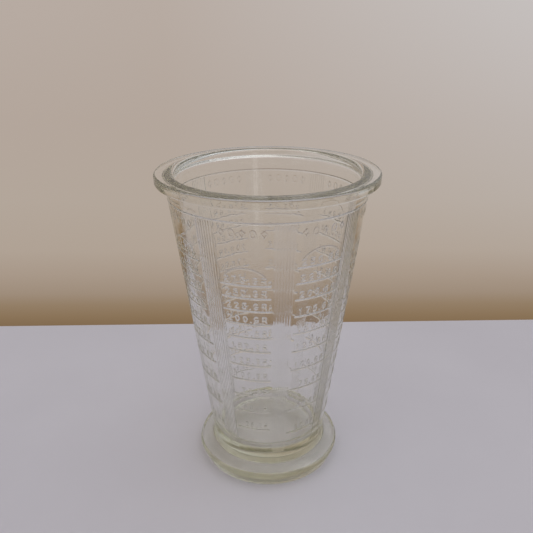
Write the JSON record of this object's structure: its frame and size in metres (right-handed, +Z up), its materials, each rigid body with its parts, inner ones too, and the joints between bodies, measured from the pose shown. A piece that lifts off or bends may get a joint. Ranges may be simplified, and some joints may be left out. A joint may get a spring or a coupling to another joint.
{
  "type": "kitchen measuring beaker",
  "caption": "Tapered pressed-glass kitchen measuring beaker on a flared foot, with a broad flat rim, ribbed bands and raised graduated scale panels round the wall.",
  "frame": {"origin": "centre of the foot's resting circle, on the surface it stands on", "axes": "+Z up along the beaker's axis, -Y towards the rib band and panel that face the viewer, +X to the viewer's right"},
  "size_m": [0.108, 0.108, 0.16],
  "materials": {
    "bowl_glass": "clear pressed glass, fire-polished, slightly wavy",
    "foot_glass": "the same glass seen thick, yellow-green at the edges",
    "relief_glass": "raised relief in the same glass, edges softened by the mould"
  },
  "bodies": {
    "root": {"foot": "foot_glass", "bowl_floor": "foot_glass", "bowl_wall": "bowl_glass", "rim": "bowl_glass", "collar_line": "relief_glass", "rib_band_1": "relief_glass", "rib_band_2": "relief_glass", "rib_band_3": "relief_glass", "rib_band_4": "relief_glass", "rib_band_5": "relief_glass", "rib_band_6": "relief_glass", "rib_band_7": "relief_glass", "rib_band_8": "relief_glass", "scale_lines_1": "relief_glass", "scale_lines_2": "relief_glass", "scale_lines_3": "relief_glass", "scale_lines_4": "relief_glass", "scale_lines_5": "relief_glass", "scale_lines_6": "relief_glass", "scale_lines_7": "relief_glass", "scale_lines_8": "relief_glass", "scale_figures_1": "relief_glass", "scale_figures_2": "relief_glass", "scale_figures_3": "relief_glass", "scale_figures_4": "relief_glass", "scale_figures_5": "relief_glass", "scale_figures_6": "relief_glass", "scale_figures_7": "relief_glass", "scale_figures_8": "relief_glass", "heading_1": "relief_glass", "heading_2": "relief_glass", "heading_3": "relief_glass", "heading_4": "relief_glass", "heading_5": "relief_glass", "heading_6": "relief_glass", "heading_7": "relief_glass", "heading_8": "relief_glass"}
  },
  "joints": []
}
